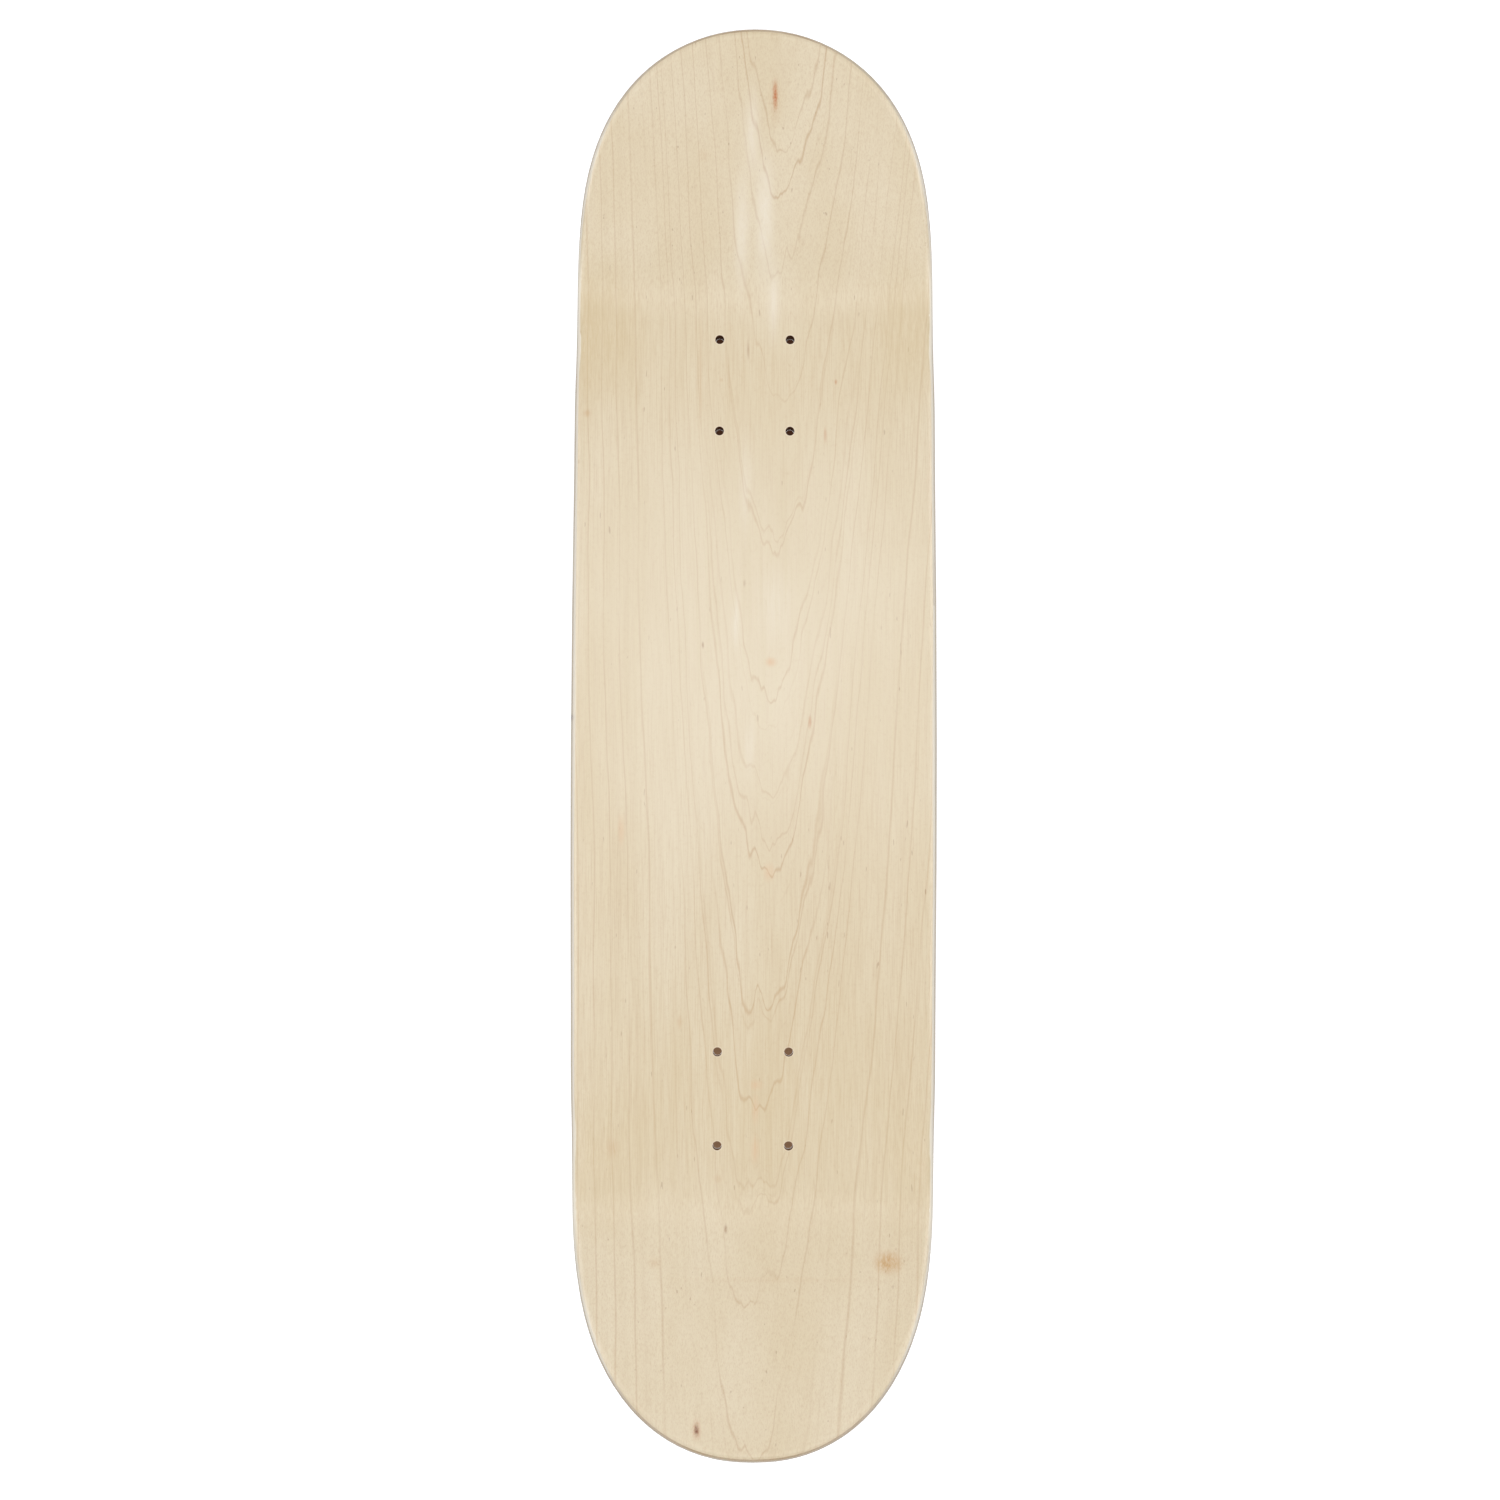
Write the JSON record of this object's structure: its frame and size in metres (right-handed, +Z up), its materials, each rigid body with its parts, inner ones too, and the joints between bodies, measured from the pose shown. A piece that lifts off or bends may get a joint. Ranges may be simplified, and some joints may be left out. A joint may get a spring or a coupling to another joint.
{
  "type": "skateboard deck",
  "caption": "Bare popsicle-shaped skateboard deck pressed from seven maple veneers, with kicked nose and tail, side concave and two truck bolt patterns.",
  "frame": {"origin": "middle of the flat underside, midway between the two truck bolt patterns", "axes": "+Y along the deck towards the nose, +X across it to the right when seen from above with the nose away, +Z up through the face that is stood on"},
  "size_m": [0.2126, 0.8127, 0.0614],
  "materials": {
    "top_face_maple": "satin clear lacquer, grain along the deck",
    "core_maple": "cut edge, grain along the deck",
    "crossband_maple": "cut edge, grain across the deck",
    "bottom_face_maple": "satin clear lacquer, grain along the deck"
  },
  "bodies": {
    "root": {"ply_1_top_face": "top_face_maple", "ply_2_upper_core": "core_maple", "ply_3_upper_crossband": "crossband_maple", "ply_4_centre_core": "core_maple", "ply_5_lower_crossband": "crossband_maple", "ply_6_lower_core": "core_maple", "ply_7_bottom_face": "bottom_face_maple"}
  },
  "joints": []
}
